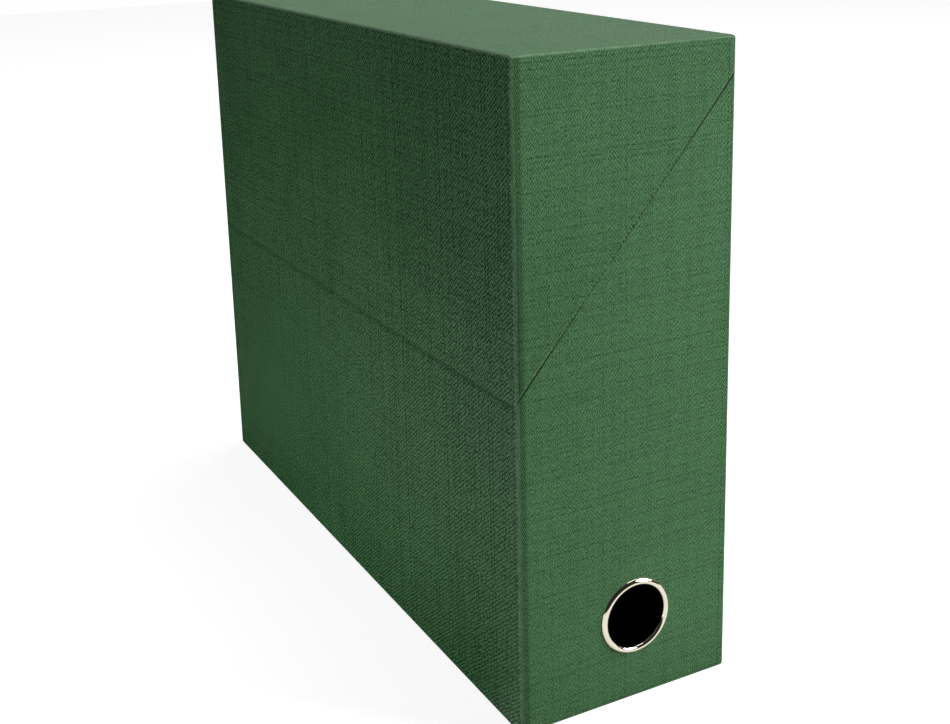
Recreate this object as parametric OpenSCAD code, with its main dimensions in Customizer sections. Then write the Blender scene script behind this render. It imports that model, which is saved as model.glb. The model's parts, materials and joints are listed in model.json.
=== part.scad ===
// Hinged archive box for A4 papers
// Greyboard panels are wrapped in linen-embossed paper. A deep lid is cut on a
// diagonal across both ends and turns on a cloth hinge along the back.
// Width runs along X, length along Y and height along Z. The front is at -X,
// the spine with the finger ring at -Y and the hinge at +X.

/* [Overall] */
// Width over the front and the fold of the hinge
box_w = 95; // [85:1:120]
// Length over the ring and the tail
box_l = 320; // [300:1:380]
// Height over the base and the top
box_h = 255; // [235:1:300]
// Radius of the wrapped outer edges
edge_r = 1.4; // [1:0.1:2]

/* [Seam] */
// Height of the seam on the front
seam_front_z = 130; // [100:0.5:150]
// Depth of the lid at the hinge
lid_back_h = 12.6; // [10:0.1:25]
// Width of the rounded lip where the seam turns the corner
lip_w = 1.3; // [1:0.1:2]
// Rise of the seam across that lip
lip_rise = 3.5; // [1:0.1:4]
// Distance in from the front where the diagonal starts
knee_in = 4.2; // [3.6:0.1:6]
// Height of that point above the seam on the front
knee_rise = 6.9; // [5:0.1:8]
// Gap between lid and case
seam_gap = 0.4; // [0.2:0.05:0.6]

/* [Boards and paper] */
// Thickness of the case boards
case_board_t = 2.5; // [2.3:0.1:3]
// Thickness of the lid boards
lid_board_t = 2; // [1.5:0.1:2]
// Thickness of the covering paper
cover_t = 0.35; // [0.2:0.05:0.5]
// Thickness of the lining paper
lining_t = 0.2; // [0.1:0.05:0.2]
// Depth of the end panels below the end edges
panel_recess = 0.3; // [0.1:0.05:0.5]
// Width of the plain band beside an end panel
side_band_w = 3.4; // [3:0.1:6]
// Width of the plain band over and under an end panel
top_band_w = 1.4; // [1:0.1:3]
// Slit between an end panel and the bands around it
panel_slit = 0.1; // [0.05:0.05:0.2]

/* [Collar] */
// Thickness of the inner collar boards
collar_t = 1; // [0.8:0.1:1.5]
// Height of the collar past the seam
collar_rise = 12; // [8:1:16]
// Distance from the back where the collar starts to fall to the seam
collar_fall = 17; // [12:1:30]
// Drop of the collar below the seam at the back
collar_drop = 1; // [0.5:0.5:3]

/* [Finger ring] */
// Outer diameter of the ring
ring_od = 31; // [28:0.5:36]
// Inner diameter of the ring
ring_id = 25.5; // [22:0.5:26]
// Height of the ring's centre
ring_z = 35; // [25:1:80]
// Sideways offset of the ring's centre
ring_x = 4; // [-8:0.5:8]
// Wall of the ring's tube
tube_wall = 0.5; // [0.4:0.1:0.8]
// Radial clearance of the hole around the tube
tube_clear = 0.1; // [0.05:0.05:0.3]
// Radial clearance of the washer on the tube
washer_clear = 0.05; // [0.05:0.05:0.2]
// Outer diameter of the washer
washer_od = 32; // [30:1:38]
// Thickness of the washer
washer_t = 0.5; // [0.4:0.1:1]
// Radius of the roll that holds the washer
clinch_r = 0.8; // [0.6:0.1:1]

/* [Hinge] */
// Radius of the cloth fold along the hinge
fold_r = 0.35; // [0.3:0.05:0.5]
// Radial clearance round the fold
fold_clear = 0.05; // [0.03:0.01:0.1]
// Height of the cloth on the back of the case
case_leaf_h = 24; // [15:1:40]
// Distance of the cloth from the top edge of the lid
lid_leaf_top = 3; // [2:0.5:5]
// Distance of the cloth from both ends
leaf_inset = 2; // [1.5:0.5:6]
// Height of the inner strip on the case
inner_leaf_h = 20; // [12:1:40]

/* [Hidden] */
$fn = 64;

cover_green = [0.19, 0.36, 0.21];
board_grey = [0.62, 0.60, 0.56];
lining_black = [0.15, 0.15, 0.16];
cloth_green = [0.13, 0.27, 0.15];
chrome_grey = [0.85, 0.85, 0.86];

// Past every face of the box, for cutting
far = 20;

// Outer faces
roll_r = (ring_od - ring_id) / 4;
x_front = -box_w / 2;
x_back = box_w / 2 - fold_r;
y_panel = -box_l / 2 + roll_r;
y_spine = y_panel - panel_recess;
y_tail = box_l / 2;

// Faces of the boards under the cover
bx_front = x_front + cover_t;
bx_back = x_back - cover_t;
by_spine = y_spine + cover_t;
by_tail = y_tail - cover_t;
ey_spine = by_spine + panel_recess;
ey_tail = by_tail - panel_recess;
bz_top = box_h - cover_t;

// Inner faces of the case boards
cx_front = bx_front + case_board_t;
cx_back = bx_back - case_board_t;
cy_spine = ey_spine + case_board_t;
cy_tail = ey_tail - case_board_t;
cz_floor = cover_t + case_board_t;
cz_lined = cz_floor + lining_t;

// Inner faces of the lid boards
lx_front = bx_front + lid_board_t;
lx_back = bx_back - lid_board_t;
ly_spine = ey_spine + lid_board_t;
ly_tail = ey_tail - lid_board_t;
lz_top = bz_top - lid_board_t;

// Seam: lip, knee and diagonal, ending on the hinge line
seam_back_z = box_h - lid_back_h;
lip_x = x_front + lip_w;
lip_z = seam_front_z + lip_rise;
knee_x = x_front + knee_in;
knee_z = seam_front_z + knee_rise;
slope = (seam_back_z - knee_z) / (x_back - knee_x);
slope_angle = atan(slope);
half_gap = seam_gap / 2;
edge_gap = half_gap + cover_t;

// Collar
collar_x0 = cx_front + collar_t;
collar_x1 = cx_back - lining_t;
collar_front_z = knee_z + collar_rise;
collar_peak_x = collar_x1 - collar_fall;
collar_peak_z = knee_z + slope * (collar_peak_x - knee_x) + collar_rise;
collar_end_z = knee_z + slope * (collar_x1 - knee_x) - collar_drop;

// Finger ring
tube_r = ring_id / 2 + tube_wall;
stack_t = cover_t + case_board_t + collar_t + washer_t;

// A box between two corners
module span(x0, x1, y0, y1, z0, z1) {
    translate([x0, y0, z0])
        cube([x1 - x0, y1 - y0, z1 - z0]);
}

// A rectangle with round corners between two corners
module round_rect(x0, x1, y0, y1, r) {
    translate([x0 + r, y0])
        square([x1 - x0 - 2 * r, y1 - y0]);
    translate([x0, y0 + r])
        square([x1 - x0, y1 - y0 - 2 * r]);
    for (x = [x0 + r, x1 - r], y = [y0 + r, y1 - r])
        translate([x, y])
            circle(r = r);
}

// Draws a shape in X and Z and runs it along Y
module along_y(y0, y1) {
    translate([0, y1, 0])
        rotate([90, 0, 0])
            linear_extrude(y1 - y0)
                children();
}

// Draws a shape in Y and Z and runs it along X
module along_x(x0, x1) {
    translate([x0, 0, 0])
        rotate([90, 0, 90])
            linear_extrude(x1 - x0)
                children();
}

// The closed box with its edges rounded, taken in by a depth on every face
module block(depth) {
    r = edge_r - depth;
    x0 = x_front + depth;
    x1 = x_back - depth;
    y0 = y_spine + depth;
    y1 = y_tail - depth;
    z0 = depth;
    z1 = box_h - depth;
    intersection() {
        along_y(y0 - far, y1 + far)
            round_rect(x0, x1, z0, z1, r);
        translate([0, 0, z0 - far])
            linear_extrude(z1 - z0 + 2 * far)
                round_rect(x0, x1, y0, y1, r);
        along_x(x0 - far, x1 + far)
            round_rect(y0, y1, z0, z1, r);
    }
}

// The seam's points, moved square to the diagonal by d
function seam_points(d) = [
    for (p = [
        [x_front - far, seam_front_z],
        [x_front, seam_front_z],
        [lip_x, lip_z],
        [knee_x, knee_z],
        [x_back + far, seam_back_z + slope * far]
    ])
        [p[0] - d * sin(slope_angle), p[1] + d * cos(slope_angle)]
];

// Everything above the seam, starting a distance d beyond it
module above(d) {
    along_y(y_spine - far, y_tail + far)
        polygon(concat(seam_points(d), [
            [x_back + far, box_h + 2 * far],
            [x_front - 2 * far, box_h + 2 * far]
        ]));
}

// Everything below the seam, starting a distance d beyond it
module below(d) {
    along_y(y_spine - far, y_tail + far)
        polygon(concat(seam_points(-d), [
            [x_back + far, -far],
            [x_front - 2 * far, -far]
        ]));
}

// A bar on the ring's axis, from depth a behind the spine panel to depth b
module ring_bar(r, a, b) {
    translate([ring_x, y_panel + b, ring_z])
        rotate([90, 0, 0])
            cylinder(r = r, h = b - a);
}

module ring_hole() {
    ring_bar(tube_r + tube_clear, -far / 2, far / 2);
}

// Room for the cloth fold on the hinge line
module fold_room() {
    translate([x_back, y_tail + far, seam_back_z])
        rotate([90, 0, 0])
            cylinder(r = fold_r + fold_clear, h = box_l + 2 * far);
}

// Openings in the cover for the two end panels
module panel_openings() {
    span(x_front + side_band_w, x_back - side_band_w,
        y_spine - far, ey_spine, top_band_w, box_h - top_band_w);
    span(x_front + side_band_w, x_back - side_band_w,
        ey_tail, y_tail + far, top_band_w, box_h - top_band_w);
}

// The slab that an end panel is cut from
module panel_slab(y0, y1) {
    span(x_front + side_band_w + panel_slit, x_back - side_band_w - panel_slit,
        y0, y1, top_band_w + panel_slit, box_h - top_band_w - panel_slit);
}

// Case

module case_front_slab() {
    intersection() {
        block(cover_t);
        span(bx_front, cx_front, by_spine, by_tail, cover_t, box_h);
    }
}

module case_back_slab() {
    intersection() {
        block(cover_t);
        span(cx_back, bx_back, by_spine, by_tail, cover_t, box_h);
    }
}

module base_board() {
    color(board_grey)
        span(cx_front, cx_back, ey_spine, ey_tail, cover_t, cz_floor);
}

module case_front_board() {
    color(board_grey)
        intersection() {
            case_front_slab();
            below(edge_gap);
        }
}

module case_back_board() {
    color(board_grey)
        intersection() {
            case_back_slab();
            below(edge_gap);
        }
}

module case_spine_board() {
    color(board_grey)
        difference() {
            intersection() {
                span(cx_front, cx_back, ey_spine, cy_spine, cz_floor, box_h);
                below(edge_gap);
            }
            ring_hole();
        }
}

module case_tail_board() {
    color(board_grey)
        intersection() {
            span(cx_front, cx_back, cy_tail, ey_tail, cz_floor, box_h);
            below(edge_gap);
        }
}

module case_cover() {
    color(cover_green)
        difference() {
            intersection() {
                block(0);
                below(half_gap);
            }
            intersection() {
                case_front_slab();
                below(edge_gap);
            }
            case_back_slab();
            span(cx_front, cx_back, ey_spine, ey_tail, cover_t, box_h + far);
            panel_openings();
            hinge_band();
        }
}

module case_spine_cover() {
    color(cover_green)
        difference() {
            intersection() {
                union() {
                    panel_slab(y_panel, ey_spine);
                    difference() {
                        span(cx_front, cx_back, ey_spine, cy_spine, cz_floor, box_h);
                        below(edge_gap);
                    }
                }
                below(half_gap);
            }
            ring_hole();
        }
}

module case_tail_cover() {
    color(cover_green)
        intersection() {
            union() {
                panel_slab(ey_tail, ey_tail + cover_t);
                difference() {
                    span(cx_front, cx_back, cy_tail, ey_tail, cz_floor, box_h);
                    below(edge_gap);
                }
            }
            below(half_gap);
        }
}

module base_lining() {
    color(lining_black)
        span(cx_front, cx_back, cy_spine, cy_tail, cz_floor, cz_lined);
}

module back_lining() {
    color(lining_black)
        span(cx_back - lining_t, cx_back, cy_spine, cy_tail, cz_lined, seam_back_z - inner_leaf_h);
}

// Collar

module collar_front() {
    color(lining_black)
        span(cx_front, collar_x0, cy_spine, cy_tail, cz_lined, collar_front_z);
}

module collar_end(y0) {
    along_y(y0, y0 + collar_t)
        polygon([
            [collar_x0, cz_lined],
            [collar_x1, cz_lined],
            [collar_x1, collar_end_z],
            [collar_peak_x, collar_peak_z],
            [collar_x0, collar_front_z]
        ]);
}

module collar_spine() {
    color(lining_black)
        difference() {
            collar_end(cy_spine);
            ring_hole();
        }
}

module collar_tail() {
    color(lining_black)
        collar_end(cy_tail - collar_t);
}

// Finger ring: a rolled rim, a tube through the end wall and a clinched roll

module finger_ring() {
    color(chrome_grey)
        translate([ring_x, y_panel, ring_z])
            rotate([90, 0, 0])
                rotate_extrude() {
                    intersection() {
                        translate([ring_id / 2 + roll_r, 0])
                            circle(r = roll_r);
                        translate([0, 0])
                            square([ring_od, roll_r]);
                    }
                    translate([ring_id / 2, -stack_t])
                        square([tube_wall, stack_t]);
                    intersection() {
                        translate([ring_id / 2 + clinch_r, -stack_t])
                            circle(r = clinch_r);
                        translate([0, -stack_t - clinch_r])
                            square([ring_od, clinch_r]);
                    }
                }
}

module ring_washer() {
    color(chrome_grey)
        difference() {
            ring_bar(washer_od / 2, stack_t - washer_t, stack_t);
            ring_bar(tube_r + washer_clear, 0, far);
        }
}

// Hinge

// The skin of the back that the cloth takes up
module hinge_band() {
    span(x_back - cover_t, x_back + far, y_spine + leaf_inset, y_tail - leaf_inset,
        seam_back_z - case_leaf_h, box_h - lid_leaf_top);
}

module hinge_cloth_case_leaf() {
    color(cloth_green)
        difference() {
            intersection() {
                hinge_band();
                block(0);
                below(half_gap);
            }
            fold_room();
        }
}

module hinge_cloth_lid_leaf() {
    color(cloth_green)
        difference() {
            intersection() {
                hinge_band();
                block(0);
                above(half_gap);
            }
            fold_room();
        }
}

module hinge_cloth_fold() {
    color(cloth_green)
        translate([x_back, y_tail - leaf_inset, seam_back_z])
            rotate([90, 0, 0])
                cylinder(r = fold_r, h = y_tail - y_spine - 2 * leaf_inset);
}

module inner_hinge_case_leaf() {
    color(cloth_green)
        difference() {
            intersection() {
                union() {
                    span(cx_back, bx_back, by_spine, by_tail, 0, box_h);
                    span(cx_back - lining_t, cx_back, cy_spine + collar_t, cy_tail - collar_t,
                        seam_back_z - inner_leaf_h, box_h);
                }
                block(cover_t);
                below(half_gap);
            }
            intersection() {
                span(cx_back, bx_back, by_spine, by_tail, 0, box_h);
                below(edge_gap);
            }
        }
}

module inner_hinge_lid_leaf() {
    color(cloth_green)
        difference() {
            intersection() {
                union() {
                    span(lx_back, bx_back, by_spine, by_tail, 0, lz_top);
                    span(lx_back - lining_t, lx_back, ly_spine, ly_tail, 0, lz_top - lining_t);
                }
                block(cover_t);
                above(half_gap);
            }
            intersection() {
                span(lx_back, bx_back, by_spine, by_tail, 0, box_h);
                above(edge_gap);
            }
        }
}

// Lid

module lid_front_slab() {
    intersection() {
        block(cover_t);
        span(bx_front, lx_front, by_spine, by_tail, 0, bz_top);
    }
}

module lid_back_slab() {
    intersection() {
        block(cover_t);
        span(lx_back, bx_back, by_spine, by_tail, 0, bz_top);
    }
}

module lid_top_board() {
    color(board_grey)
        span(lx_front, lx_back, ey_spine, ey_tail, lz_top, bz_top);
}

module lid_front_board() {
    color(board_grey)
        intersection() {
            lid_front_slab();
            above(edge_gap);
        }
}

module lid_back_board() {
    color(board_grey)
        intersection() {
            lid_back_slab();
            above(edge_gap);
        }
}

module lid_end_board(y0) {
    intersection() {
        span(lx_front, lx_back, y0, y0 + lid_board_t, 0, lz_top);
        above(edge_gap);
    }
}

module lid_spine_board() {
    color(board_grey)
        lid_end_board(ey_spine);
}

module lid_tail_board() {
    color(board_grey)
        lid_end_board(ly_tail);
}

module lid_cover() {
    color(cover_green)
        difference() {
            intersection() {
                block(0);
                above(half_gap);
            }
            intersection() {
                lid_front_slab();
                above(edge_gap);
            }
            lid_back_slab();
            span(lx_front, lx_back, ey_spine, ey_tail, -far, bz_top);
            panel_openings();
            hinge_band();
        }
}

// An end panel of the lid and its turn round the edge of the board
module lid_end_cover(panel_y, board_y) {
    intersection() {
        union() {
            panel_slab(panel_y, panel_y + cover_t);
            difference() {
                span(lx_front, lx_back, board_y, board_y + lid_board_t, 0, lz_top);
                above(edge_gap);
            }
        }
        above(half_gap);
    }
}

module lid_spine_cover() {
    color(cover_green)
        lid_end_cover(y_panel, ey_spine);
}

module lid_tail_cover() {
    color(cover_green)
        lid_end_cover(ey_tail, ly_tail);
}

module lid_top_lining() {
    color(lining_black)
        span(lx_front, lx_back, ly_spine, ly_tail, lz_top - lining_t, lz_top);
}

module lid_front_lining() {
    color(lining_black)
        intersection() {
            span(lx_front, lx_front + lining_t, ly_spine, ly_tail, 0, lz_top - lining_t);
            above(half_gap);
        }
}

module lid_end_lining(y0) {
    intersection() {
        span(lx_front + lining_t, lx_back - lining_t, y0, y0 + lining_t, 0, lz_top - lining_t);
        above(half_gap);
    }
}

module lid_spine_lining() {
    color(lining_black)
        lid_end_lining(ly_spine);
}

module lid_tail_lining() {
    color(lining_black)
        lid_end_lining(ly_tail - lining_t);
}

base_board();
case_front_board();
case_back_board();
case_spine_board();
case_tail_board();
case_cover();
case_spine_cover();
case_tail_cover();
collar_front();
collar_spine();
collar_tail();
base_lining();
back_lining();
finger_ring();
ring_washer();
hinge_cloth_case_leaf();
hinge_cloth_fold();
hinge_cloth_lid_leaf();
inner_hinge_case_leaf();
inner_hinge_lid_leaf();
lid_top_board();
lid_front_board();
lid_back_board();
lid_spine_board();
lid_tail_board();
lid_cover();
lid_spine_cover();
lid_tail_cover();
lid_top_lining();
lid_front_lining();
lid_spine_lining();
lid_tail_lining();
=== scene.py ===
# %% [markdown]
# # A linen-covered archive box
# The real box is greyboard wrapped in embossed paper. Its deep lid is cut on a
# diagonal across both ends and turns on a cloth hinge along the back. The packed
# model gives the boards and the joint. Here we dress it: thin wraps with rounded
# edges, sunk end panels, a rolled metal ring, a hinge cloth, and
# finishes made of nodes.

# %% Load the imported model
import json
import math

import bmesh
import bpy
from mathutils import Euler, Matrix, Vector


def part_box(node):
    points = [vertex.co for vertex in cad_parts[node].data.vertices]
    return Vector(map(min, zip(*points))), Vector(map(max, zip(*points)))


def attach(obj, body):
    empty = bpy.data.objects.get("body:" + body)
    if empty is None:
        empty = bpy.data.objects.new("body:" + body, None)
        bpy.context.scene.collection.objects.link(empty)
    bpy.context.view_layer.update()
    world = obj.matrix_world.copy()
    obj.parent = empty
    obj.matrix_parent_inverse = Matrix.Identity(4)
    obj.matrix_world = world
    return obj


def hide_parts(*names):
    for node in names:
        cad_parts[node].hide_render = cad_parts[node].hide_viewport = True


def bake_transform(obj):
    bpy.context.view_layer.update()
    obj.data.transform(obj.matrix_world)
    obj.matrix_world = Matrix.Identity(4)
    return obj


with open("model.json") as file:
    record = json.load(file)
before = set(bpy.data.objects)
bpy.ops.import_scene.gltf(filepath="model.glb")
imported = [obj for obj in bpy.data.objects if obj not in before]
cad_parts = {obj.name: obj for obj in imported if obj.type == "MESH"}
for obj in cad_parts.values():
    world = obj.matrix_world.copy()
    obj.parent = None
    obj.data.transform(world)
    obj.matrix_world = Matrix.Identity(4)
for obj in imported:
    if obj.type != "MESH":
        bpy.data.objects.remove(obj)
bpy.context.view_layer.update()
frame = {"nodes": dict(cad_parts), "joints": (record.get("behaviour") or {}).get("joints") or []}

# %% [markdown]
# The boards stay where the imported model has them, so we read the outer faces
# from its nodes. The seam is a line in X and Z that runs the whole length of the
# box: a steep lip at the front corner, then one long diagonal to the hinge. The
# scene is in metres, and a size is written in millimetres times MM.

# %% Measures of the box
MM = 0.001
X, Y, Z = 0, 1, 2
case_lo, case_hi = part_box("case_cover")
FRONT, BACK = case_lo.x, case_hi.x
SPINE, TAIL = case_lo.y, case_hi.y  # the ring is in the spine end
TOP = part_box("lid_cover")[1].z
HINGE_Z = frame["joints"][0]["pos_m"][Z]
ENDS = {"spine": (SPINE, 1), "tail": (TAIL, -1)}  # where each end is, and the way in
CASE, LID = -1, 1  # the side of the seam that a part lies on
EDGE_R = 1.4 * MM  # rounding of the wrapped edges
SKIN = 0.3 * MM  # thickness of a wrap
RECESS = 0.3 * MM  # from the wrap's end to the end panel
SIDE_BAND = 3.4 * MM  # wrap that shows beside an end panel
TOP_BAND = 1.4 * MM  # wrap that shows above and below it
WALLS = {CASE: 2.85 * MM, LID: 2.35 * MM}  # board and paper together
RING = Vector((4 * MM, SPINE + RECESS, 35 * MM))  # centre of the finger hole
CLOTH_LOW, CLOTH_HIGH = HINGE_Z - 24 * MM, TOP - 3 * MM  # the field of the hinge cloth
CLOTH_END = 2 * MM  # from that field to each end of the box
HAIR, FINE = 0.02 * MM, 0.002 * MM  # corners this near a place count as on it
print("front", FRONT, "back", BACK, "spine", SPINE, "tail", TAIL, "top", TOP)

# %% Where the seam runs
SEAM_Z = 130 * MM  # its height on the front
LIP_RUN, LIP_RISE = 1.3 * MM, 3.5 * MM
HALF_GAP = 0.04 * MM
SEAM_BOW = 0.13 * MM  # how much further each side of the gap opens at its ends
LIP_X, LIP_Z = FRONT + LIP_RUN, SEAM_Z + LIP_RISE
LIP_SLOPE = LIP_RISE / LIP_RUN
SLOPE = (HINGE_Z - LIP_Z) / (BACK - LIP_X)
NORMAL = Vector((-SLOPE, 0, 1)).normalized()
LIP_NORMAL = Vector((-LIP_SLOPE, 0, 1)).normalized()


def diagonal_height(x, shift=0.0):
    """Height of the diagonal at x, moved square to itself by shift."""
    return LIP_Z + SLOPE * (x - LIP_X) + shift * math.sqrt(1 + SLOPE**2)


def seam_plane(shift, lip=False):
    """A point on the diagonal or the lip, moved by shift, and the direction square to it."""
    return Vector((LIP_X, 0, LIP_Z)) + NORMAL * shift, LIP_NORMAL if lip else NORMAL


print("seam at the front", SEAM_Z, "at the back", diagonal_height(BACK), "slope", SLOPE)

# %% [markdown]
# Modelling by operator works on what is selected. After loading, the packed
# nodes are all selected, so each piece starts by letting go of everything. The
# helpers below start a piece, pick faces, edges or corners by their place, and
# finish a piece with its own mesh at the origin.


# %% Start a piece and pick parts of it
def let_go():
    if bpy.context.mode != "OBJECT":
        bpy.ops.object.mode_set(mode="OBJECT")
    bpy.ops.object.select_all(action="DESELECT")


def block(name, low, high):
    let_go()
    middle = [(a + b) / 2 for a, b in zip(low, high)]
    size = [b - a for a, b in zip(low, high)]
    bpy.ops.mesh.primitive_cube_add(size=1, location=middle, scale=size)
    bpy.ops.object.transform_apply(location=True, rotation=True, scale=True)
    piece = bpy.context.object
    piece.name = piece.data.name = name
    bpy.ops.object.mode_set(mode="EDIT")
    return piece


def pick(kind, test):
    """Selects the verts, edges or faces whose place and direction pass the test."""
    bpy.ops.mesh.select_mode(type={"verts": "VERT", "edges": "EDGE", "faces": "FACE"}[kind])
    bpy.ops.mesh.select_all(action="DESELECT")
    mesh = bpy.context.object.data
    bm = bmesh.from_edit_mesh(mesh)
    count = 0
    for item in getattr(bm, kind):
        if kind == "verts":
            place, along = item.co, item.co
        elif kind == "edges":
            place = (item.verts[0].co + item.verts[1].co) / 2
            along = (item.verts[1].co - item.verts[0].co).normalized()
        else:
            place, along = item.calc_center_median(), item.normal
        if test(place, along):
            item.select_set(True)
            count += 1
    bm.select_flush_mode()
    bmesh.update_edit_mesh(mesh)
    return count


# %% Cut a piece
def cut(place, normal, keep=None, fill=False):
    """Bisects the whole mesh. keep is None for both sides of the cut, 1 for the
    side that the normal points to, and -1 for the other."""
    bpy.ops.mesh.select_mode(type="FACE")
    bpy.ops.mesh.select_all(action="SELECT")
    bpy.ops.mesh.bisect(
        plane_co=place,
        plane_no=normal,
        use_fill=fill,
        clear_inner=keep == 1,
        clear_outer=keep == -1,
        threshold=0.001 * MM,
    )


def slice_at(axis, *places):
    """Cuts the mesh square to an axis at each of the places, and keeps both sides."""
    normal = [float(i == axis) for i in range(3)]
    for place in places:
        cut([n * place for n in normal], normal)


def drop_faces(test):
    if pick("faces", test):
        bpy.ops.mesh.delete(type="FACE")


def modifier(piece, kind, **settings):
    m = piece.modifiers.new(kind.title(), kind)
    for key, value in settings.items():
        setattr(m, key, value)
    with bpy.context.temp_override(object=piece, active_object=piece):
        bpy.ops.object.modifier_apply(modifier=m.name)


# %% Finish a piece
def lay_out(piece):
    """A UV map in metres: each face is laid flat along its two longest directions."""
    layer = piece.data.uv_layers.new(name="linen")
    for face in piece.data.polygons:
        n = [abs(c) for c in face.normal]
        a, b = ((Y, Z), (X, Z), (X, Y))[n.index(max(n))]
        for i in face.loop_indices:
            co = piece.data.vertices[piece.data.loops[i].vertex_index].co
            layer.data[i].uv = (co[a], co[b])


def size_of(piece):
    """The piece's size along each axis, in millimetres."""
    columns = zip(*(v.co for v in piece.data.vertices))
    return [round((max(c) - min(c)) / MM, 2) for c in columns]


def done(piece, body, *nodes, angle=35):
    """Smooths a piece up to an angle, hides the nodes that it stands for, and hangs it on the
    body that it rides on, if any.
    """
    let_go()
    piece.select_set(True)
    bpy.context.view_layer.objects.active = piece
    bpy.ops.object.shade_smooth_by_angle(angle=math.radians(angle))
    lay_out(piece)
    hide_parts(*nodes)
    if body:
        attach(piece, body)
    let_go()
    print(piece.name, "faces", len(piece.data.polygons), "size mm", size_of(piece))


# %% [markdown]
# ## The wraps
# A bookbinder glues one sheet of linen paper over the front, base and back of
# the case, and turns it round the ends of the boards. Another sheet covers the
# lid in the same way. We start from a block the size of the closed box, round
# its edges with a bevel, and cut it along the seam. Then we take out the faces
# that the end panels and the hinge cloth cover.


# %% Steps that both wraps share
def closed_box(name):
    piece = block(name, (FRONT, SPINE, 0), (BACK, TAIL, TOP))
    bpy.ops.mesh.select_all(action="SELECT")
    bpy.ops.mesh.bevel(offset=EDGE_R, offset_type="OFFSET", segments=5, profile=0.5)
    return piece


def open_ends():
    """Takes out what the end panels cover, and shapes the band that is left beside
    them: each column of corners goes in by its own depth."""
    left, right = FRONT + SIDE_BAND, BACK - SIDE_BAND
    low, high = TOP_BAND, TOP - TOP_BAND
    valley = 1.9 * MM
    depths = {left: 0.13, right: 0.08, FRONT + valley: 0.3, BACK - valley: 0.14}
    slice_at(X, *depths)
    slice_at(Z, low, high)
    drop_faces(lambda p, n: abs(n.y) > 0.9 and left < p.x < right and low < p.z < high)
    for y, inward in ENDS.values():
        on_end = lambda p: abs(p.y - y) < HAIR and low < p.z < high
        for x, depth in depths.items():
            pick("verts", lambda p, _: on_end(p) and abs(p.x - x) < HAIR)
            bpy.ops.transform.translate(value=(0, inward * depth * MM, 0))


def open_hinge():
    """Takes out the part of the back that the hinge cloth covers."""
    near, far = SPINE + CLOTH_END, TAIL - CLOTH_END
    slice_at(Z, CLOTH_LOW, CLOTH_HIGH)
    slice_at(Y, near, far)
    on_field = lambda p: CLOTH_LOW < p.z < CLOTH_HIGH and near < p.y < far
    drop_faces(lambda p, n: n.x > 0.9 and on_field(p))


# %% The wraps' edges at the seam
def turn_edge(side):
    """Keeps a rim as wide as the wall of the faces that the seam's cut left, and
    bows it, so that the gap opens towards both ends of the diagonal."""
    wall, parts = WALLS[side], 8
    x0, x1 = FRONT + wall, BACK - wall
    y0, y1 = SPINE + wall + RECESS, TAIL - wall - RECESS
    steps = [x0 + (x1 - x0) * i / parts for i in range(parts + 1)]
    slice_at(X, *steps)
    slice_at(Y, y0, y1)
    inside = lambda p: x0 < p.x < x1 and y0 < p.y < y1 and EDGE_R < p.z < TOP - EDGE_R
    slanted = lambda n: abs(n.y) < 0.1 and 0.3 < abs(n.x) < 0.99 and abs(n.z) > 0.1
    drop_faces(lambda p, n: slanted(n) and inside(p))
    on_seam = lambda p: abs(p.z - diagonal_height(p.x, side * HALF_GAP)) < HAIR
    for i, x in enumerate(steps):
        from_middle = abs(2 * i / parts - 1)
        pick("verts", lambda p, _: abs(p.x - x) < FINE and on_seam(p))
        bpy.ops.transform.translate(value=NORMAL * side * SEAM_BOW * from_middle**3)


def ease_front(side):
    """Rounds the seam's edge on the front: rows near the cut lean in, and the
    nearer they are, the more. The lip behind leans with them."""
    for distance in (2.6, 1.4, 0.6):
        slice_at(Z, SEAM_Z + side * distance * MM)
    on_lip = lambda p: p.x < LIP_X and SPINE + CLOTH_END < p.y < TAIL - CLOTH_END
    for distance, lean in ((1.4, 0.09), (0.6, 0.2), (0.0, 0.36)):
        height = SEAM_Z + side * distance * MM
        reach = FINE if distance else 0.3 * MM
        on_row = lambda p: abs(p.z - height) < reach
        pick("verts", lambda p, _: on_row(p) and (p.x < FRONT + HAIR or on_lip(p)))
        bpy.ops.transform.translate(value=(lean * MM, 0, 0))


def thicken(piece):
    """Closes small cracks and gives the skin its thickness, on the inside."""
    bpy.ops.mesh.select_all(action="SELECT")
    bpy.ops.mesh.remove_doubles(threshold=HAIR)
    bpy.ops.mesh.dissolve_degenerate(threshold=HAIR / 2)
    bpy.ops.object.mode_set(mode="OBJECT")
    modifier(piece, "SOLIDIFY", thickness=SKIN, offset=-1, use_even_offset=False)


# %% The case's wrap
case_wrap = closed_box("case_wrap")
cut(*seam_plane(CASE * HALF_GAP), keep=CASE, fill=True)
cut(*seam_plane(CASE * HALF_GAP, lip=True), keep=CASE, fill=True)
turn_edge(CASE)
ease_front(CASE)
open_ends()
open_hinge()
thicken(case_wrap)
done(case_wrap, "case", "case_cover")

# %% [markdown]
# The lid's lip hangs below the diagonal, so a cut can't make it. We cut along
# the diagonal alone and then pull the corners in front of the lip's top down to
# the lip's slope.


# %% The lid's wrap
def drop_lip(piece):
    columns = {round(v.co.x, 6) for v in bmesh.from_edit_mesh(piece.data).verts}
    for x in sorted(c for c in columns if c < LIP_X - FINE):
        diagonal = diagonal_height(x, LID * HALF_GAP)
        pick("verts", lambda p, _: abs(p.x - x) < FINE and abs(p.z - diagonal) < HAIR)
        bpy.ops.transform.translate(value=(0, 0, (LIP_SLOPE - SLOPE) * (x - LIP_X)))


lid_wrap = closed_box("lid_wrap")
cut(*seam_plane(LID * HALF_GAP), keep=LID, fill=True)
slice_at(X, LIP_X)
turn_edge(LID)
drop_lip(lid_wrap)
ease_front(LID)
open_ends()
open_hinge()
thicken(lid_wrap)
done(lid_wrap, "lid", "lid_cover")

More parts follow.
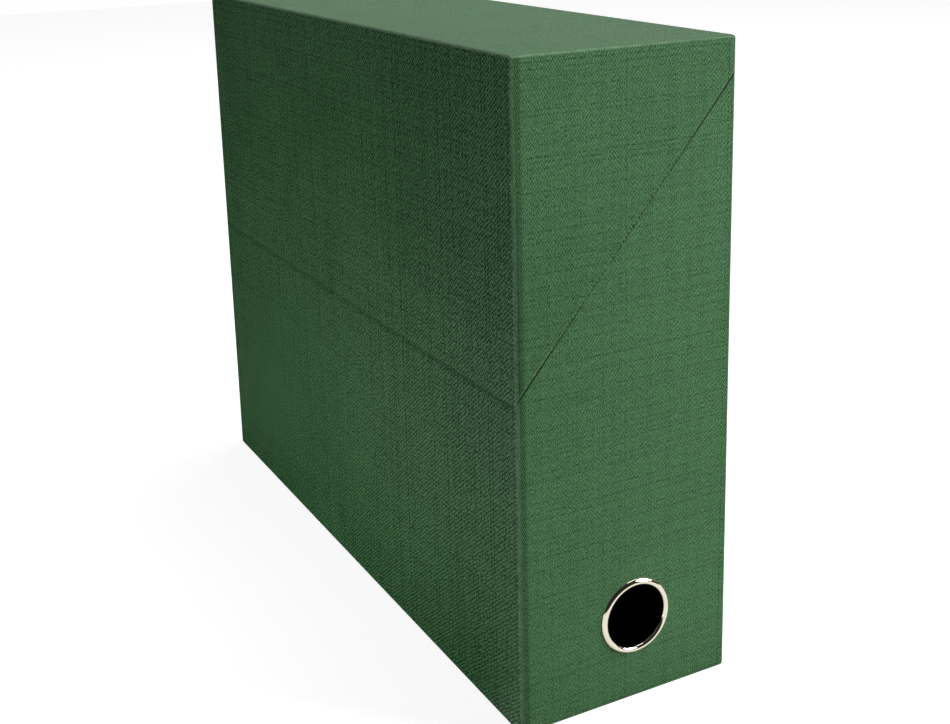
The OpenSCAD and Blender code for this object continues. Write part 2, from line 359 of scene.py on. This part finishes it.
# %% [markdown]
# ## The end panels
# Each end of the box is closed by a separate sheet, glued on after the wrap, so
# a narrow band of the wrap shows round it. The sheet is cut along the seam into
# a case part and a lid part. Its two long edges are pressed in a little, which
# takes a cut beside each of them. Near the top the wrap's turn-in shows through
# as a faint step, which two close cuts make.

# %% End panels
SHEET = 0.6 * MM  # thickness of a panel
SET_BACK = 0.03 * MM  # from the wrap's end to the panel's face
PRESSED = 0.8 * MM  # width of the pressed edges
TURN_IN = 10 * MM  # from the top to the end of the wrap's turn-in


def panel(name, end, side):
    edge, inward = ENDS[end]
    outer = edge + inward * SET_BACK
    left, right = FRONT + SIDE_BAND, BACK - SIDE_BAND
    near, far = sorted((outer, outer + inward * SHEET))
    piece = block(name, (left, near, TOP_BAND), (right, far, TOP - TOP_BAND))
    slice_at(X, left + PRESSED, right - PRESSED)
    for x, depth in ((left, 0.1), (right, 0.05)):
        pick("verts", lambda p, _: abs(p.x - x) < FINE and abs(p.y - outer) < FINE)
        bpy.ops.transform.translate(value=(0, inward * depth * MM, 0))
    cut(*seam_plane(side * (HALF_GAP + 0.05 * MM)), keep=side, fill=True)
    if side == LID:
        step = TOP - TURN_IN
        slice_at(Z, step, step + 0.5 * MM)
        on_face = lambda p: abs(p.y - outer) < 0.2 * MM
        pick("verts", lambda p, _: p.z < step + 0.1 * MM and on_face(p))
        bpy.ops.transform.translate(value=(0, inward * 0.06 * MM, 0))
    bpy.ops.object.mode_set(mode="OBJECT")
    return piece


def punch_hole(piece):
    """Takes the hole for the ring's tube out of a panel."""
    let_go()
    bpy.ops.mesh.primitive_cylinder_add(
        vertices=96,
        radius=13.35 * MM,
        depth=4 * MM,
        location=RING,
        rotation=(math.pi / 2, 0, 0),
    )
    punch = bpy.context.object
    modifier(piece, "BOOLEAN", operation="DIFFERENCE", object=punch, solver="EXACT")
    bpy.data.objects.remove(punch)


for end in ENDS:
    for body, side in (("case", CASE), ("lid", LID)):
        sheet = panel(f"{body}_{end}_panel", end, side)
        if sheet.name == "case_spine_panel":
            punch_hole(sheet)
        done(sheet, body, f"{body}_{end}_cover")

# %% [markdown]
# ## The finger ring
# The ring is one metal stamping: a rolled rim, a short tube through the board,
# and an end rolled outwards over a washer. Every cross-section of it is the same,
# so we shape the section once as a loop and spin it round the hole's axis.

# %% Section of the finger ring
HOLE_R = 12.75 * MM
STACK = 4.35 * MM  # depth of the hole
CLINCH_R = 0.8 * MM
METAL = 0.5 * MM
# Radius and height in millimetres, from the rim's outer edge over its crown into the tube.
RIM = (
    (15.5, 0), (15.5, 0.15), (15.42, 0.4), (15.2, 0.7), (14.9, 0.99),
    (14.6, 1.22), (14.3, 1.35), (13.95, 1.37), (13.6, 1.28), (13.3, 1.08),
    (13.05, 0.78), (12.88, 0.42), (12.8, 0.05), (12.86, -0.15), (12.86, -2),
)


def arc(centre_r, centre_h, radius, first, last, steps):
    turn = [math.radians(first + (last - first) * i / steps) for i in range(steps + 1)]
    return [(centre_r + radius * math.cos(t), centre_h + radius * math.sin(t)) for t in turn]


section = [(r * MM, h * MM) for r, h in RIM]
section += arc(HOLE_R + CLINCH_R, -STACK, CLINCH_R, 180, 350, 12)
tube_r = HOLE_R + METAL
section += [(tube_r, -STACK + 0.1 * MM), (tube_r, -0.3 * MM), (tube_r + 0.3 * MM, -0.05 * MM)]
print("points in the ring's section:", len(section))

# %% Finger ring
let_go()
bpy.ops.mesh.primitive_circle_add(vertices=len(section), radius=HOLE_R, location=(0, 0, 0))
finger_ring = bpy.context.object
finger_ring.name = finger_ring.data.name = "finger_ring_rolled"
bpy.ops.object.mode_set(mode="EDIT")
bm = bmesh.from_edit_mesh(finger_ring.data)
for vert, (r, h) in zip(bm.verts, section):
    vert.co = Vector((RING.x + r, RING.y - h, RING.z))
bmesh.update_edit_mesh(finger_ring.data)
bpy.ops.mesh.select_all(action="SELECT")
bpy.ops.mesh.spin(steps=128, angle=math.tau, center=RING, axis=(0, 1, 0), use_auto_merge=True)
bpy.ops.mesh.select_all(action="SELECT")
bpy.ops.mesh.remove_doubles(threshold=0.001 * MM)
bpy.ops.mesh.normals_make_consistent(inside=False)
bpy.ops.object.mode_set(mode="OBJECT")
done(finger_ring, "case", "finger_ring", angle=50)

# %% [markdown]
# ## The hinge cloth
# One strip of book cloth is glued down the back, half on the case and half on
# the lid, and it bends where the two meet. We make it as one thin sheet with
# close rows of faces over the gap, where it swells a little.

# %% Hinge cloth
CLOTH = 0.3 * MM  # thickness
PROUD = 0.05 * MM  # how far it stands out of the back
MARGIN = 0.1 * MM  # from the cloth to the edge of its field
ROW = 0.35 * MM  # height of a row of faces
BEND = 1.5 * MM  # half the height over which it turns
near_end, far_end = SPINE + CLOTH_END + MARGIN, TAIL - CLOTH_END - MARGIN
hinge_cloth = block(
    "hinge_cloth",
    (BACK - CLOTH, near_end, CLOTH_LOW + MARGIN),
    (BACK + PROUD, far_end, CLOTH_HIGH - MARGIN),
)
pick("edges", lambda p, d: abs(p.x - BACK) < 0.1 * MM and abs(d.x) < 0.1)
bpy.ops.mesh.bevel(offset=0.12 * MM, segments=2, profile=0.5)
slice_at(Z, *(HINGE_Z + i * ROW for i in range(-6, 7)))
for i, out in ((-2, 0.06), (-1, 0.16), (0, 0.2), (1, 0.16), (2, 0.06)):
    pick("verts", lambda p, _: abs(p.z - (HINGE_Z + i * ROW)) < FINE)
    bpy.ops.transform.translate(value=(out * MM, 0, 0))
bpy.ops.object.mode_set(mode="OBJECT")
done(hinge_cloth, None, "hinge_cloth_case_leaf", "hinge_cloth_fold", "hinge_cloth_lid_leaf")
HINGE_Z - BEND
HINGE_Z + BEND
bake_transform(hinge_cloth)
CLOTH_HIGH - CLOTH_LOW - 2 * MARGIN

# %% [markdown]
# ## Finishes
# Each finish is a small set of nodes. Numbers in a material are wrapped in a
# class, so that a sum or a product written in Python adds the Math node for it.
# Every other node comes from one method that takes its type, its settings and
# what goes into its sockets.


# %% A class for shader maths
class Value:
    def __init__(self, nodes, socket):
        self.nodes, self.socket = nodes, socket

    def math(self, operation, *others, flip=False):
        parts = [*others, self] if flip else [self, *others]
        return self.nodes.node("Math", {"operation": operation}, dict(enumerate(parts)))

    def __add__(self, other):
        return self.math("ADD", other)

    def __mul__(self, other):
        return self.math("MULTIPLY", other)

    def __sub__(self, other):
        return self.math("SUBTRACT", other)

    def __rsub__(self, other):
        return self.math("SUBTRACT", other, flip=True)

    __radd__, __rmul__ = __add__, __mul__

    def least(self, other):
        return self.math("MINIMUM", other)

    def most(self, other):
        return self.math("MAXIMUM", other)

    def wave(self):
        return self.math("SINE")

    def ramp(self, low, high):
        """0 at low, 1 at high, and smooth between."""
        sockets = {"Value": self, "From Min": low, "From Max": high}
        return self.nodes.node("MapRange", {"interpolation_type": "SMOOTHSTEP"}, sockets)


# %% Classes that add nodes
class Nodes:
    """Adds nodes to the tree of a material or of the world."""

    def __init__(self, owner):
        owner.use_nodes = True
        self.tree = owner.node_tree

    def node(self, kind, settings=None, sockets=None, out=0):
        n = self.tree.nodes.new("ShaderNode" + kind)
        for key, value in (settings or {}).items():
            setattr(n, key, value)
        for key, value in (sockets or {}).items():
            self.feed(n.inputs[key], value)
        return Value(self, n.outputs[out])

    def feed(self, socket, value):
        if isinstance(value, Value):
            self.tree.links.new(value.socket, socket)
        else:
            socket.default_value = value

    def tint(self, factor, first, second):
        sockets = {0: factor, 6: first, 7: second}
        return self.node("Mix", {"data_type": "RGBA"}, sockets, out=2)

    def parts(self, vector):
        return [self.node("SeparateXYZ", None, {0: vector}, out=i) for i in (X, Y, Z)]

    def rays(self, first, *others):
        """1 for the named kinds of ray and 0 for the others."""
        total = self.node("LightPath", out=f"Is {first} Ray")
        for name in others:
            sockets = {0: total, 1: self.node("LightPath", out=f"Is {name} Ray")}
            total = self.node("Math", {"operation": "ADD", "use_clamp": True}, sockets)
        return total


class Finish(Nodes):
    """A material, with the steps that most of them need."""

    def __init__(self, name):
        self.material = bpy.data.materials.new(name)
        super().__init__(self.material)
        self.shader = self.tree.nodes["Principled BSDF"]

    def set(self, sockets):
        for key, value in sockets.items():
            self.feed(self.shader.inputs[key], value)

    def place(self, source="Object"):
        """The place in millimetres, as a vector and as its three numbers."""
        where = self.node("TexCoord", out=source)
        scaled = self.node("VectorMath", {"operation": "SCALE"}, {0: where, "Scale": 1 / MM})
        return scaled, self.parts(scaled)

    def noise(self, vector, scale, detail=2.0, stretch=(1, 1, 1)):
        spread = self.node("VectorMath", {"operation": "MULTIPLY"}, {0: vector, 1: stretch})
        return self.node("TexNoise", None, {"Vector": spread, "Scale": scale, "Detail": detail})

    def row(self, along, scale, detail=1.0):
        """Noise that changes along one direction only, like the threads of a cloth."""
        sockets = {"W": along, "Scale": scale, "Detail": detail}
        return self.node("TexNoise", {"noise_dimensions": "1D"}, sockets)

    def bump(self, height, distance, strength=1.0):
        sockets = {"Height": height, "Distance": distance, "Strength": strength}
        self.set({"Normal": self.node("Bump", None, sockets)})


# %% Colours and lengths for sockets
def linear(*rgb):
    """An sRGB colour from 0 to 255 as the linear values that sockets take."""
    part = [c / 255 for c in rgb]
    return [c / 12.92 if c <= 0.04045 else ((c + 0.055) / 1.055) ** 2.4 for c in part] + [1.0]


def dim(colour, share):
    return [c * share for c in colour[:3]] + [1.0]


def mm(length):
    """Metres as millimetres, which the finishes work in."""
    return length / MM


WHITE = (1, 1, 1, 1)
print("cover green", linear(61, 103, 65), "box length in mm", mm(TAIL - SPINE))

# %% [markdown]
# The cover paper is embossed like linen. Two sine waves multiplied give rows of
# dots, and noise that shifts both waves keeps the rows from looking printed.
# Noise that changes along one direction only adds the thick and thin threads,
# and a second noise lets each thread come and go.


# %% The embossed weave
def emboss(f, x, pitch):
    """Height of the weave, which shows less on the front face, as in the photo."""
    cloth, (u, v, _) = f.place("UV")
    turn = math.tau / pitch
    drift = f.noise(cloth, 0.09, detail=1.0) * 2.5
    jitter = (f.noise(cloth, 0.5) - 0.5) * 3.8
    dots = (u * turn + drift + jitter).wave() * (v * turn - drift + jitter).wave()
    patch_u, patch_v = f.noise(cloth, 0.12, detail=3.0), f.noise(cloth, 0.1, detail=3.0)
    threads_u = f.row(u + drift * 0.1, 1.0).ramp(0.5, 0.7) * patch_u.ramp(0.2, 0.7)
    threads_v = f.row(v - drift * 0.1, 1.0).ramp(0.5, 0.7) * patch_v.ramp(0.2, 0.7)
    lines = threads_u * 0.75 + threads_v * 1.2
    grain = f.noise(cloth, 1.0).ramp(0.3, 0.7) - 0.5
    # The front face lies in softer light, so its weave gets less height there, and with it less
    # painted shade and highlight.
    softer_on_front = x.ramp(mm(FRONT), mm(FRONT) + 1.0) * 0.4 + 0.6
    return dots * (patch_v * 0.6 + 0.9) * softer_on_front - lines * 0.45 + grain * 0.9 + 0.12


# %% [markdown]
# Wear, the painted highlight along the edges and the painted shade at the seams
# follow from the object's own coordinates. We measure how deep a place lies
# under the box's outer faces along each axis. It is on an edge when two of the
# three depths are small, so wear follows the middle one.


# %% Wear, painted edge highlights and painted seam shade
def depth_under(place, low, high):
    return (place - mm(low)).least(mm(high) - place)


def edge_wear_and_highlight(f, space, a, b, c):
    middle = a.least(b).most(a.most(b).least(c))
    scuff = f.noise(space, 0.3, detail=4.0)
    # The noise gives real scuffs; the constant half is a painted highlight along every edge.
    return (1 - middle.ramp(0.2, 1.3)) * (scuff.ramp(0.4, 0.7) * 0.5 + 0.5)


def seam_and_valley_shading(x, z, a, b):
    """Painted shade in the valleys beside the front corners of the ends, a painted shadow of the
    lid's edge just below the front seam, painted shade in the gap of the diagonal seam, and a
    paler line just above that gap.
    """
    inset, over_seam = x - mm(FRONT), z - mm(SEAM_Z)
    # Painted shade in the valley beside the front corner of each end.
    valley = inset.ramp(1.0, 1.8) * (1 - inset.ramp(3.2, 4.8)) * (1 - b.ramp(0.6, 1.4))
    # Painted shadow of the lid's edge on the front, just below the seam.
    below = over_seam.ramp(-2.6, -0.1) * (1 - over_seam.ramp(0.0, 0.3))
    shadow_below_seam = below * (1 - inset.ramp(0.6, 1.4))
    above = z - x * SLOPE - mm(diagonal_height(0))
    on_ends = (1 - a.ramp(10.0, 36.0) * 0.6) * (1 - b.ramp(0.9, 1.6))
    on_ends = on_ends * x.ramp(mm(LIP_X) - 0.6, mm(LIP_X))
    # Painted shade along the diagonal seam's gap, then a paler line just above it.
    cut_shade = above.ramp(-1.3, -0.8) * (1 - above.ramp(0.16, 0.26)) * on_ends
    pale_above_seam = above.ramp(0.25, 0.35) * (1 - above.ramp(0.6, 0.95)) * on_ends
    dark = (valley * 0.5).most(shadow_below_seam * 0.2).most(cut_shade * 0.95)
    return dark, pale_above_seam * 0.4


# %% Linen paper
def linen(name, shade, glow, worn_and_lit, pitch=1.7, rough=0.5):
    """The first colour is painted shade deep in the weave's dips, the second a painted highlight
    on its tops, and the third the colour of the edges, part wear and part painted highlight.
    """
    f = Finish(name)
    space, (x, y, z) = f.place()
    a, b = depth_under(x, FRONT, BACK), depth_under(y, SPINE, TAIL)
    height = emboss(f, x, pitch)
    cloud = f.noise(space, 0.018, detail=3.0) - 0.5
    wear_and_highlight = edge_wear_and_highlight(f, space, a, b, depth_under(z, 0, TOP))
    dark, pale = seam_and_valley_shading(x, z, a, b)
    # The weave's relief is painted into the colour: painted shade in its dips, painted highlight
    # on its tops.
    weave = f.tint(height * 1.1 + cloud * 0.3 + 0.365, shade, glow)
    weave = f.tint(dark, weave, shade)
    # The edges take the edge colour, part wear and part painted highlight, and so does the paler
    # line above the seam.
    f.set({
        "Base Color": f.tint((wear_and_highlight * 0.9).most(pale), weave, worn_and_lit),
        "Roughness": cloud * 0.15 - height * 0.05 + wear_and_highlight * 0.12 + rough,
        "Specular IOR Level": 0.18,
    })
    f.bump(height, 0.1 * MM)
    return f.material


# Painted shade, painted highlight, and the edge colour, which is part wear and part painted
# highlight.
cover_linen = linen("cover_linen", linear(3, 45, 6), linear(93, 145, 97), linear(126, 160, 126))
print("material", cover_linen.name)

# %% [markdown]
# The strip at the hinge is real book cloth, so its weave is finer and less
# shiny than the paper's, and its painted shade and highlight lie closer together.

# %% Book cloth
# Painted shade, painted highlight, and the edge colour, part wear and part painted highlight.
book_cloth = linen(
    "book_cloth",
    linear(31, 65, 36),
    linear(47, 93, 54),
    linear(80, 112, 82),
    pitch=0.8,
    rough=0.7,
)
print("material", book_cloth.name)

# %% [markdown]
# Greyboard is pressed from waste paper: dull, with specks and fibres. The lining
# is dark paper with a faint mottle, because the photo shows a black hole inside
# the ring.


# %% Boards and lining
def board(name, base, speck, amount, rough):
    f = Finish(name)
    space, _ = f.place()
    mottle = f.noise(space, 0.08, detail=4.0)
    fibre = f.noise(space, 1.6, detail=3.0, stretch=(1, 0.25, 1))
    fleck = f.noise(space, 2.4, detail=1.0).ramp(0.66, 0.74)
    tone = f.tint(mottle * 0.6 + fibre * 0.5 - 0.1, base, dim(base, 0.82))
    f.set({
        "Base Color": f.tint(fleck * amount, tone, speck),
        "Roughness": fibre * 0.1 + mottle * 0.08 + rough,
    })
    f.bump(fibre + mottle * 0.5, 0.03 * MM)
    return f.material


greyboard = board("greyboard", linear(150, 143, 130), linear(92, 86, 78), 0.7, 0.78)
lining = board("lining_paper", linear(38, 38, 40), linear(58, 58, 58), 0.3, 0.6)
print("materials", greyboard.name, lining.name)

# %% [markdown]
# The ring is bright plated steel. Handling leaves a soft haze on it, which is a
# change of roughness, and faint lines from the spinning tool run round it.


# %% Metals
def metal(name, colour, low, high, turned):
    """low and high are the least and most roughness, turned how close the lines are."""
    f = Finish(name)
    space, (x, _, z) = f.place()
    dx, dz = x - mm(RING.x), z - mm(RING.z)
    lines = f.row((dx * dx + dz * dz).math("SQRT"), turned, detail=2.0)
    haze = f.noise(space, 0.18, detail=4.0)
    f.set({
        "Base Color": f.tint(haze.ramp(0.4, 0.8) * 0.3, colour, dim(colour, 0.85)),
        "Metallic": 1.0,
        "Roughness": haze.ramp(0.35, 0.75) * (high - low) + low,
    })
    f.bump(lines, 0.01 * MM, 0.5)
    return f.material


chrome = metal("ring_chrome", linear(246, 238, 216), 0.05, 0.14, 3.0)
steel = metal("washer_steel", linear(196, 194, 188), 0.3, 0.45, 9.0)
print("materials", chrome.name, steel.name)

# %% [markdown]
# Now every piece gets its finish.

# %% Put the finishes on
SLOTS = {
    "cover_paper": cover_linen,
    "hinge_cloth": book_cloth,
    "greyboard": greyboard,
    "lining_paper": lining,
    "ring_chrome": chrome,
    "washer_steel": steel,
}
made = {
    "cover_paper": ["case_wrap", "lid_wrap"]
    + [f"{body}_{end}_panel" for body in ("case", "lid") for end in ENDS],
    "hinge_cloth": ["hinge_cloth"],
    "ring_chrome": ["finger_ring_rolled"],
}
for slot_name, names in made.items():
    for name in names:
        bpy.data.objects[name].data.materials.append(SLOTS[slot_name])
for node in frame["nodes"].values():
    for entry in node.material_slots:
        entry.material = SLOTS[entry.material.name.split(".")[0]]
print("finished nodes", len(frame["nodes"]), "pieces", sum(map(len, made.values())))

# %% [markdown]
# ## Camera and light
# The photo looks slightly down at the ring end, so the camera stands a little
# above the box and left of it. Its place, angles and lens come from the straight
# edges of the box in the photo, whose crop off the middle is the shift.

# %% Camera
EYE = Vector((-0.26803, -0.54881, 0.31361))
TURN = Euler([math.radians(a) for a in (76.1342, 1.3744, -28.247)])
eye = bpy.data.cameras.new("camera")
eye.sensor_width = 36
eye.lens = 51.7156
eye.shift_x, eye.shift_y = 0.0, -0.16
camera = bpy.data.objects.new("camera", eye)
bpy.context.scene.collection.objects.link(camera)
camera.matrix_world = Matrix.LocRotScale(EYE, TURN, None)
bpy.context.scene.camera = camera
print("camera at", camera.location)

# %% [markdown]
# The background of the photo is pure white. We make the world white for what
# the camera and reflections see, so that no more light falls on the box. Metal
# sees the white room above and behind, and a dark studio low down and in front,
# as the photo's ring shows. All else gets a faint even light.

# %% World
scene = bpy.context.scene
scene.view_settings.view_transform = "Standard"
world = bpy.data.worlds.new("studio")
scene.world = world
sky = Nodes(world)
sky.tree.nodes.remove(sky.tree.nodes["Background"])
_, toward_y, toward_z = sky.parts(sky.node("TexCoord", out="Generated"))
studio = toward_z.ramp(0.3, 0.1).most(toward_y.ramp(0.1, -0.1))
room = sky.tint(studio * sky.rays("Glossy"), WHITE, (0.02, 0.02, 0.02, 1))
seen = sky.node("Background", None, {"Color": room, "Strength": 1.0})
ambient = sky.node("Background", None, {"Color": WHITE, "Strength": 0.03})
shown_to = sky.rays("Camera", "Glossy", "Transmission")
mix = sky.node("MixShader", None, {0: shown_to, 1: ambient, 2: seen})
sky.feed(sky.tree.nodes["World Output"].inputs["Surface"], mix)
print("world", world.name, "nodes", len(sky.tree.nodes))

# %% [markdown]
# A large soft lamp on the right lights the ring end, one above lights the top,
# and a small one low on the left lifts the foot of the front. The rest of the
# front stays in the shade, as in the photo.


# %% Lamps
def softbox(name, place, target, size, power):
    lamp = bpy.data.lights.new(name, "AREA")
    lamp.shape = "RECTANGLE"
    lamp.size, lamp.size_y = size
    lamp.energy = power
    holder = bpy.data.objects.new(name, lamp)
    scene.collection.objects.link(holder)
    holder.location = place
    holder.visible_camera = False
    aim = Vector(target) - Vector(place)
    holder.rotation_euler = aim.to_track_quat("-Z", "Y").to_euler()


softbox("key", (1.5, -1.1, 1.1), (0, -0.1, 0.13), size=(1.0, 1.0), power=59)
softbox("top", (0.6, 0.2, 1.6), (0, 0, 0), size=(1.2, 1.2), power=12)
softbox("fill", (-0.27, 0.02, 0.015), (-0.05, 0.04, 0.03), size=(0.32, 0.04), power=0.34)

# %% [markdown]
# The floor is pale and keeps the box's shadow. For the camera it is half its own
# lit surface and half a glow, so that it runs into the white background. In
# reflections it is the glow alone, and only in front of the box, where the ring
# sees it.

# %% Floor
let_go()
bpy.ops.mesh.primitive_plane_add(size=6, location=(0, 0, 0))
floor = bpy.context.object
floor.name = "floor"
ground = Finish("floor")
ground.set({"Base Color": (0.8, 0.8, 0.8, 1), "Roughness": 0.9, "Specular IOR Level": 0.0})
_, (_, along, _) = ground.place()
camera_ray = ground.rays("Camera")
mirrored = ground.rays("Glossy", "Transmission")
in_front = along.ramp(-110.0, -190.0)
strength = camera_ray * 1.8 + mirrored * in_front * 0.92
glow = ground.node("Emission", None, {"Color": WHITE, "Strength": strength})
lit = Value(ground, ground.shader.outputs["BSDF"])
share = camera_ray * 0.5 + mirrored
surface = ground.node("MixShader", None, {0: share, 1: lit, 2: glow})
ground.feed(ground.tree.nodes["Material Output"].inputs["Surface"], surface)
floor.data.materials.append(ground.material)
print("floor", floor.name, "size", list(floor.dimensions))
